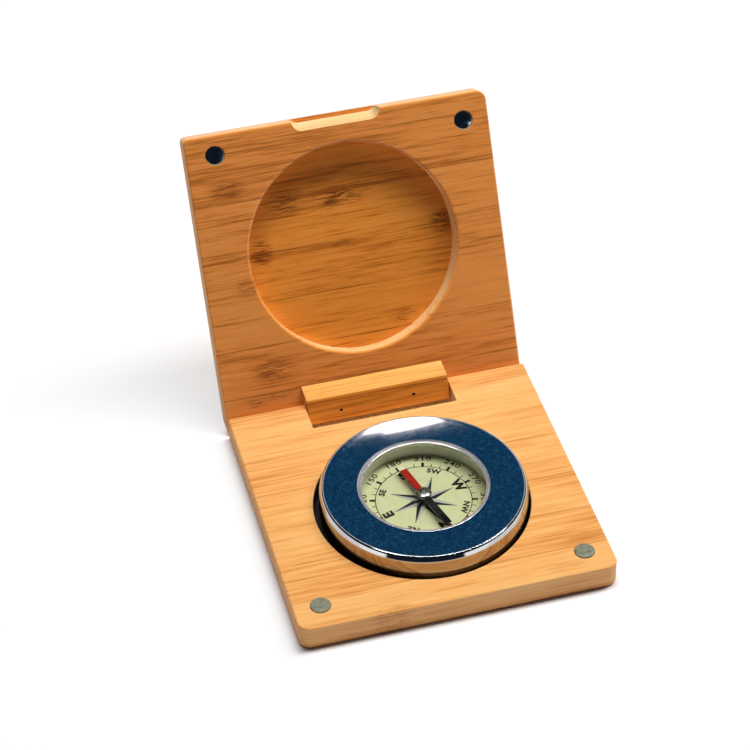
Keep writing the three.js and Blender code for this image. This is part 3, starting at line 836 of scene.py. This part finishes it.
# %% Pins and brads
pin_radius = 0.75
brad_radius = 0.4
brad_foot = block_bottom + 0.3
brad_end = 6.3
for side in ("left", "right"):
    low, high = box_mm("hinge_pin_" + side)
    pin = rod(pin_radius, low.x, high.x, 48, 0.15)
    pin.transform(Matrix.Translation((0, hinge.y, hinge.z)) @ Matrix.Rotation(math.pi / 2, 4, "Y"))
    hand_over(pin, "pin_" + side, "base", [steel], "hinge_pin_" + side)
    brad = moved(rod(brad_radius, brad_foot, brad_end, 32, 0.1), *brad_spots[side])
    hand_over(brad, "brad_" + side, "lid", [dark_steel], "block_brad_" + side, lid_place)

# %% [markdown]
# ## Magnets
# Four small plated discs hold the lid shut. A bevelled edge is what catches the light on them. Those
# in the base stand a little proud, and those in the lid are set a little below the wood. The left disc
# of the lid is set off its partner, so the lid's wood meets the left disc of the base when it is shut,
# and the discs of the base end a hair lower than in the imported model.

# %% Magnets
magnet_radius = 2.5
magnet_height = 2.5
magnet_ease = 0.25
lid_clearance = 0.05
lid_foot = lid_low + 0.3
for side in ("left", "right"):
    low, high = box_mm("base_magnet_" + side)
    middle = (low + high) / 2
    disc = moved(rod(magnet_radius, low.z, high.z - lid_clearance, 64, magnet_ease), middle.x, middle.y)
    hand_over(disc, "base_disc_" + side, "base", [dull_nickel], "base_magnet_" + side)
    spot = lid_magnets[side]
    disc = moved(rod(magnet_radius, lid_foot, lid_foot + magnet_height, 64, magnet_ease), spot.x, spot.y)
    hand_over(disc, "lid_disc_" + side, "lid", [bright_nickel], "lid_magnet_" + side,
              lid_place)

# %% [markdown]
# ## The compass case
# The compass is a stack of turned pieces about one axis. Heights count from the underside of the
# housing, whose drum flares a little towards its foot. The bezel carries three surfaces on one turned
# profile: a polished shoulder with a satin edge, the navy flat, and a thin satin lip one step below it
# round the crystal, so its faces take their finish by their radius. The shoulder is a cone between two
# small rounds. A cone mirrors one height of the room along its whole width, which gives the hard black
# and white bands of the photograph, and the round above it draws the lamp into a thin line. The flat is
# in truth dished by less than one degree, which lets its rear mirror the upper edge of the lid.

# %% Housing
compass_place = Matrix.Translation(((compass_low.x + compass_high.x) / 2,
                                    (compass_low.y + compass_high.y) / 2, compass_low.z))
bezel_seat = compass_high.z - compass_low.z
outer = compass_radius
wall_thickness = 2.1
wall_inside = outer - wall_thickness
cover_rim = wall_inside + 0.8
cover_height = 1.2

housing = turned([(outer + housing_flare, 0), (outer, bezel_seat), (wall_inside, bezel_seat),
                  (wall_inside, cover_height), (cover_rim, cover_height), (cover_rim, 0)], 192, 0.06)
hand_over(housing, "case_wall", "base", [wall_chrome], "compass_housing", compass_place)
cover = rod(cover_rim - 0.1, 0, cover_height, 128, 0.1)
hand_over(cover, "case_back", "base", [steel], "back_cover", compass_place)
# The dark pad is a real foam pad, and its black also stands for the shade in the gap round the drum.
low, high = box_mm("adhesive_pad")
middle, reach = (low + high) / 2, (high.x - low.x) / 2
pad = moved(rod(reach, low.z, high.z, 128, 0.1), middle.x, middle.y)
hand_over(pad, "foam_pad", "base", [foam_and_gap_shade], "adhesive_pad")

# %% Bezel profile
top = 9.6
opening = 15.55
shoulder_height = 1.3
brow_drop = 0.02
cone = math.radians(26)
cone_length = 0.82
foot_round = 0.35
brow_round = 0.73
satin_edge = 0.04
dish_drop = 0.03
dish_depth = 0.03
lip_outer = opening + 1.0
lip_half = 0.43

brow_top = top - brow_drop
shoulder = [(outer - foot_round * (1 - math.cos(a)), brow_top - shoulder_height + foot_round * math.sin(a))
            for a in (cone * i / 4 for i in range(5))]
brow_radius = shoulder[-1][0] - cone_length * math.sin(cone) - brow_round * math.cos(cone)
shoulder += [(brow_radius + brow_round * math.cos(a), brow_top - brow_round * (1 - math.sin(a)))
             for a in (cone + (math.pi / 2 - cone) * i / 10 for i in range(11))]
face_start = brow_radius - satin_edge
face_width = face_start - lip_outer
dish = [(face_start - face_width * s, top - dish_drop - dish_depth * (1 - (1 - s) ** 2))
        for s in (i / 8 for i in range(9))]
lip = [(lip_outer - 0.06, top - 0.12), (lip_outer - 0.10, top - 0.20), (lip_outer - 0.12, top - 0.33)]
lip += [(opening + lip_half * (1 - s), top - 0.34 - 0.12 * s * s) for s in (i / 5 - 1 for i in range(11))]
print("navy face is", round(face_width, 2), "mm wide")

# %% Bezel
skirt = wall_inside - 0.15
skirt_inside = skirt - 1.2
skirt_foot = bezel_seat - 2
crystal_bore = 16.95
crystal_top = top - 1.15
bezel_finishes = [chrome, navy, satin_chrome]

inside = [(opening, crystal_top), (crystal_bore, crystal_top), (crystal_bore, bezel_seat),
          (skirt_inside, bezel_seat), (skirt_inside, skirt_foot), (skirt, skirt_foot), (skirt, bezel_seat)]
bezel = turned([(outer, bezel_seat)] + shoulder + dish + lip + inside, 256)
for face in bezel.faces:
    middle = face.calc_center_median()
    reach = math.hypot(middle.x, middle.y)
    finish = chrome
    if middle.z > crystal_top + 0.3 and reach < brow_radius + 0.2:
        finish = navy if lip_outer < reach < face_start else satin_chrome
    face.material_index = bezel_finishes.index(finish)
hand_over(bezel, "bezel", "base", bezel_finishes, "bezel_ring", compass_place)

# %% [markdown]
# ## Capsule, dial and crystal
# Under the crystal lies a cup of pale plastic with the dial card on its floor. The printing on the card
# is real ink, so it is made as very thin raised shapes: a circle, ticks every ten degrees, numbers
# every thirty and the letters of the eight winds.

# %% Capsule, dial card and crystal
crystal_low = crystal_top - 1.2
crystal_radius = 16.85
capsule_bore = 16.45
capsule_outer = 18.35
foot_outer = capsule_outer - 1.2
dial_top = crystal_low - 3.4
dial_seat = dial_top - 0.4
dial_radius = 16.35
dial_hole = 0.65
capsule_under = dial_seat - 1

cup = turned([(dial_hole, capsule_under), (foot_outer, capsule_under), (foot_outer, cover_height),
              (capsule_outer, cover_height), (capsule_outer, bezel_seat), (crystal_bore, bezel_seat),
              (crystal_bore, crystal_low), (capsule_bore, crystal_low), (capsule_bore, dial_seat),
              (dial_hole, dial_seat)], 192, 0.08)
hand_over(cup, "capsule", "base", [rim_plastic], "capsule_cup", compass_place)
card = turned([(dial_hole, dial_seat), (dial_radius, dial_seat), (dial_radius, dial_top),
               (dial_hole, dial_top)], 192, 0.03)
hand_over(card, "dial_disc", "base", [dial_card], "dial_plate", compass_place)
window = rod(crystal_radius, crystal_low, crystal_top, 192, 0.1)
hand_over(window, "window", "base", [glass], "crystal", compass_place)

# %% [markdown]
# A bearing on the dial becomes an angle in the frame: the card is turned so that 195 degrees points to
# the hinge. Bearings run clockwise seen from above, and Blender's angles run the other way.

# %% Dial ring and ticks
dial_turn = 195.4
ink_height = 0.02
ring_inner = 11.95
ring_outer = 12.17
tick_start = 12.1
main_tick = (0.36, 1.45)
small_tick = (0.11, 1.0)


def stand_on_dial(shape, bearing, radius):
    turn = -math.radians(bearing - dial_turn)
    shape.transform(Matrix.Rotation(turn, 4, "Z") @ Matrix.Translation((0, radius, dial_top)))
    return shape


def add_to(whole, shape):
    mesh = bpy.data.meshes.new("part")
    shape.to_mesh(mesh)
    shape.free()
    whole.from_mesh(mesh)
    bpy.data.meshes.remove(mesh)


ink_top = dial_top + ink_height
scale = turned([(ring_inner, dial_top), (ring_outer, dial_top), (ring_outer, ink_top),
                (ring_inner, ink_top)], 192)
for bearing in range(0, 360, 10):
    width, length = main_tick if bearing % 30 == 0 else small_tick
    tick = bar((-width, -0.05, 0), (width, length, ink_height))
    add_to(scale, stand_on_dial(tick, bearing, tick_start))
hand_over(scale, "dial_scale", "base", [ink], place=compass_place)

# %% Dial numbers and letters
capital_share = 0.7
number_reach = 14.9
main_wind_reach = 10.05
half_wind_reach = 10.6


def lettering(words, height, bold, widen):
    line = bpy.data.curves.new("line", "FONT")
    line.body = words
    line.size = height / capital_share
    line.align_x, line.align_y = "CENTER", "CENTER"
    line.extrude = ink_height / 2
    line.offset = bold
    line.space_character = 1.1
    line.resolution_u = 3
    holder = bpy.data.objects.new("line", line)
    scene.collection.objects.link(holder)
    graph = bpy.context.evaluated_depsgraph_get()
    shape = bmesh.new()
    shape.from_mesh(bpy.data.meshes.new_from_object(holder.evaluated_get(graph)))
    bpy.data.objects.remove(holder)
    bmesh.ops.scale(shape, verts=shape.verts, vec=(widen, 1, 1))
    return moved(shape, 0, 0, ink_height / 2)


numbers = bmesh.new()
for bearing in range(0, 360, 30):
    add_to(numbers, stand_on_dial(lettering(str(bearing), 1.5, 0.03, 1.3), bearing, number_reach))
hand_over(numbers, "dial_numbers", "base", [ink], place=compass_place)
winds = bmesh.new()
for bearing, words in ((0, "N"), (90, "E"), (180, "S"), (270, "W")):
    add_to(winds, stand_on_dial(lettering(words, 2.5, 0.20, 1.05), bearing, main_wind_reach))
for bearing, words in ((45, "NE"), (135, "SE"), (225, "SW"), (315, "NW")):
    add_to(winds, stand_on_dial(lettering(words, 1.5, 0.10, 1.05), bearing, half_wind_reach))
hand_over(winds, "dial_letters", "base", [ink], place=compass_place)

# %% [markdown]
# The wind rose in the middle has eight slim points. Each is split along its length into a black half
# and a grey half, which makes the flat print look folded.

# %% Wind rose
point_length = 8.8
valley = 2.9


def rose_half(sign):
    """Eight half points as one thin print; sign says which side of each point."""
    shape = bmesh.new()
    for bearing in range(0, 360, 45):
        hollow = (sign * valley * math.sin(math.pi / 8), valley * math.cos(math.pi / 8))
        point = bmesh.new()
        corners = [point.verts.new((x, y, 0)) for x, y in ((0, 0), (0, point_length), hollow)]
        lifted = bmesh.ops.extrude_face_region(point, geom=[point.faces.new(corners)])
        raised = [v for v in lifted["geom"] if isinstance(v, bmesh.types.BMVert)]
        bmesh.ops.translate(point, verts=raised, vec=(0, 0, ink_height))
        bmesh.ops.recalc_face_normals(point, faces=point.faces)
        add_to(shape, stand_on_dial(point, bearing, 0))
    return shape


hand_over(rose_half(1), "rose_dark", "base", [ink], place=compass_place)
hand_over(rose_half(-1), "rose_grey", "base", [grey_ink], place=compass_place)

# %% [markdown]
# ## Needle
# The needle is a thin steel strip with a red half, a black half and a cream tip on the red end. The
# strip starts as one block; planes cut it where the paint changes, and its ends are drawn wider than
# its middle. It floats on the point of the pivot pin under a domed hub.

# %% Needle strip
needle_low = dial_top + 1.9
needle_high = needle_low + 0.25
needle_turn = math.radians(180 - 165.2)
needle_place = compass_place @ Matrix.Rotation(needle_turn, 4, "Z")
red_length, black_length = 11.4, 11.9
strip_half = 0.8
end_swell = 0.19
ring_edge = 1.6
tip_start = 10.1
needle_finishes = [red_enamel, black_enamel, cream_enamel]

strip = bar((-strip_half, -black_length, needle_low), (strip_half, red_length, needle_high))
for y in (-ring_edge, ring_edge, tip_start):
    bmesh.ops.bisect_plane(strip, geom=strip.verts[:] + strip.edges[:] + strip.faces[:], dist=0.0001,
                           plane_co=(0, y, 0), plane_no=(0, 1, 0))
for vert in strip.verts:
    vert.co.x *= 1 + end_swell * min(1, abs(vert.co.y) / red_length)
for face in strip.faces:
    y = face.calc_center_median().y
    finish = black_enamel if y < 0 else (cream_enamel if y > tip_start else red_enamel)
    face.material_index = needle_finishes.index(finish)
print("needle strip shaped")

# %% Needle joined to its ring
ring_radius = 1.7
ring_hole = 1.1
ring = rod(ring_radius, needle_low, needle_high, 48)
for face in ring.faces:
    face.material_index = needle_finishes.index(black_enamel)
hole = rod(ring_hole, needle_low - 1, needle_high + 1, 48)
strip = combine(strip, [ring], "UNION", needle_finishes)
strip = combine(strip, [hole], "DIFFERENCE")
hand_over(strip, "needle_strip", "compass_needle", needle_finishes, "needle",
          needle_place)

# %% Hub and pivot
hub_radius = 2.0
hub_neck = 1.0
hub_bore = 0.7
hub_low = needle_low - 0.4
dome_foot = needle_high + 0.3
dome_height = 0.6
dome = [(hub_radius * math.cos(a), dome_foot + dome_height * math.sin(a))
        for a in (i * math.pi / 16 for i in range(8))]
hub = turned([(hub_bore, hub_low), (hub_neck, hub_low), (hub_neck, needle_high), (hub_radius, needle_high)]
             + dome + [(0, dome_foot + dome_height), (0, needle_high + 0.45), (hub_bore, needle_low)], 64)
hand_over(hub, "needle_cap", "compass_needle", [hub_steel], "needle_hub", needle_place)

pin_half = 0.5
flange = 1.5
flange_foot = capsule_under - 0.5
pivot = turned([(0, flange_foot), (flange, flange_foot), (flange, capsule_under), (pin_half, capsule_under),
                (pin_half, hub_low - 0.5), (0, dome_foot)], 48)
hand_over(pivot, "pivot", "base", [steel], "pivot_pin", compass_place)

# %% [markdown]
# ## Floor and light
# The floor is plain white. Far from the object it shows its own white to the camera and in
# reflections, so that every view has the same pale ground, and close by it is an ordinary surface that
# takes the shadow. The room above is dark, as in a studio, which gives chrome its black and white.
# Two low white cards stand at its sides and leave a dark gap towards the photograph's camera; they are
# stated by the heading of a shoulder facet that would mirror them, so the gap gets straight ends. They
# stay low, because the navy flat would mirror higher ones in a side view. One long lamp hangs over the
# case, a little to the right and to the rear. A lamp that long would whiten the flat in a view from
# above, so it is hidden from mirrors, and the room shows a narrow bright strip in its place.

# %% Floor
floor_half = 12
floor_drop = 0.0002
case_half = 0.040

floor_mesh = bpy.data.meshes.new("floor")
shape = bmesh.new()
bmesh.ops.create_grid(shape, x_segments=1, y_segments=1, size=floor_half)
moved(shape, 0, 0, -floor_drop)
shape.to_mesh(floor_mesh)
shape.free()
floor = bpy.data.objects.new("floor", floor_mesh)
scene.collection.objects.link(floor)

paper = new_finish("white_floor")
tune(paper, {"Base Color": (0.95, 0.95, 0.955, 1), "Roughness": 0.9, "Specular IOR Level": 0.0})
spot = object_place(paper)
reach = vectors(paper, "LENGTH", spot)
side, depth, _ = node(paper, "SeparateXYZ", {0: spot}).outputs
beside = maths(paper, "SUBTRACT", maths(paper, "ABSOLUTE", side), case_half)
before = maths(paper, "SUBTRACT", maths(paper, "ABSOLUTE", depth), case_half)
outside = ramp(paper, maths(paper, "MAXIMUM", beside, before), -0.001, 0.003)
path = node(paper, "LightPath")
seen = maths(paper, "ADD", path.outputs["Is Camera Ray"], path.outputs["Is Glossy Ray"],
             path.outputs["Is Transmission Ray"])
seen = maths(paper, "MINIMUM", seen, 1.0)
share = maths(paper, "MULTIPLY", ramp(paper, reach, 0.08, 0.30, 0.6, 1.0), outside, seen)
glow = node(paper, "Emission", {"Color": (1.0, 1.0, 1.0, 1), "Strength": 1.05})
two_shaders(paper, share, principled(paper), glow)
floor_mesh.materials.append(paper)
print("floor laid")

# %% World
room_tone = (0.009, 0.015, 0.025, 1)
white = (1.0, 1.0, 1.0, 1)
room = bpy.data.worlds.new("studio")
scene.world = room
room.use_nodes = True
direction = node(room, "TexCoord").outputs["Generated"]
across, depth, height = node(room, "SeparateXYZ", {0: direction}).outputs
path = node(room, "LightPath")
mirrored = path.outputs["Is Glossy Ray"]
seen = maths(room, "MAXIMUM", mirrored, path.outputs["Is Transmission Ray"])
horizon = maths(room, "MULTIPLY", ramp(room, height, 0.03, 0.01), seen)
horizon = maths(room, "MAXIMUM", horizon, path.outputs["Is Camera Ray"])
light = mixed(room, horizon, room_tone, white)
print("dark room with a white horizon")

# %% Cards and strip
card_tone = (1.4, 1.4, 1.4, 1)
strip_tone = (20.0, 20.0, 20.0, 1)
front_x, front_y = -0.247, -0.969
facet = vectors(room, "ADD", direction, tuple(back))
ahead = vectors(room, "DOT_PRODUCT", facet, (front_x, front_y, 0))
aside = vectors(room, "DOT_PRODUCT", facet, (-front_y, front_x, 0))
heading = maths(room, "ABSOLUTE", maths(room, "ARCTAN2", aside, ahead))
card = maths(room, "MULTIPLY", ramp(room, heading, 0.36, 0.39), ramp(room, height, 0.21, 0.18), mirrored)
light = mixed(room, card, light, card_tone)

lamp_aside, lamp_behind = 0.22, 0.165
sideways = maths(room, "SUBTRACT", maths(room, "DIVIDE", across, height), lamp_aside)
backward = maths(room, "SUBTRACT", maths(room, "DIVIDE", depth, height), lamp_behind)
strip = maths(room, "MULTIPLY", ramp(room, maths(room, "ABSOLUTE", sideways), 0.62, 0.55),
              ramp(room, maths(room, "ABSOLUTE", backward), 0.045, 0.036),
              ramp(room, height, 0.4, 0.5), mirrored)
light = mixed(room, strip, light, strip_tone)
room.node_tree.links.new(light, room.node_tree.nodes["Background"].inputs["Color"])
print("two cards and one strip hung in the room")

# %% Lamp
lamp_place = Vector((0.27, 0.15, 1.0))
lamp_aim = Vector((0, 0.02, 0.02))
lamp = bpy.data.lights.new("top_light", "AREA")
lamp.shape = "RECTANGLE"
lamp.size, lamp.size_y = 1.1, 0.24
lamp.energy = 14.2
holder = bpy.data.objects.new("top_light", lamp)
scene.collection.objects.link(holder)
behind = (lamp_place - lamp_aim).normalized()
along = behind.cross(Vector((0, -1, 0))).normalized()
turn = Matrix((along, behind.cross(along), behind)).transposed().to_4x4()
holder.matrix_world = Matrix.Translation(lamp_place) @ turn
holder.visible_glossy = False
print("lamp gives", round(lamp.energy, 1), "W")

# %% [markdown]
# ## View transform
# The view transform is Standard, so colours come out as written.

# %% Finish
scene.view_settings.view_transform = "Standard"
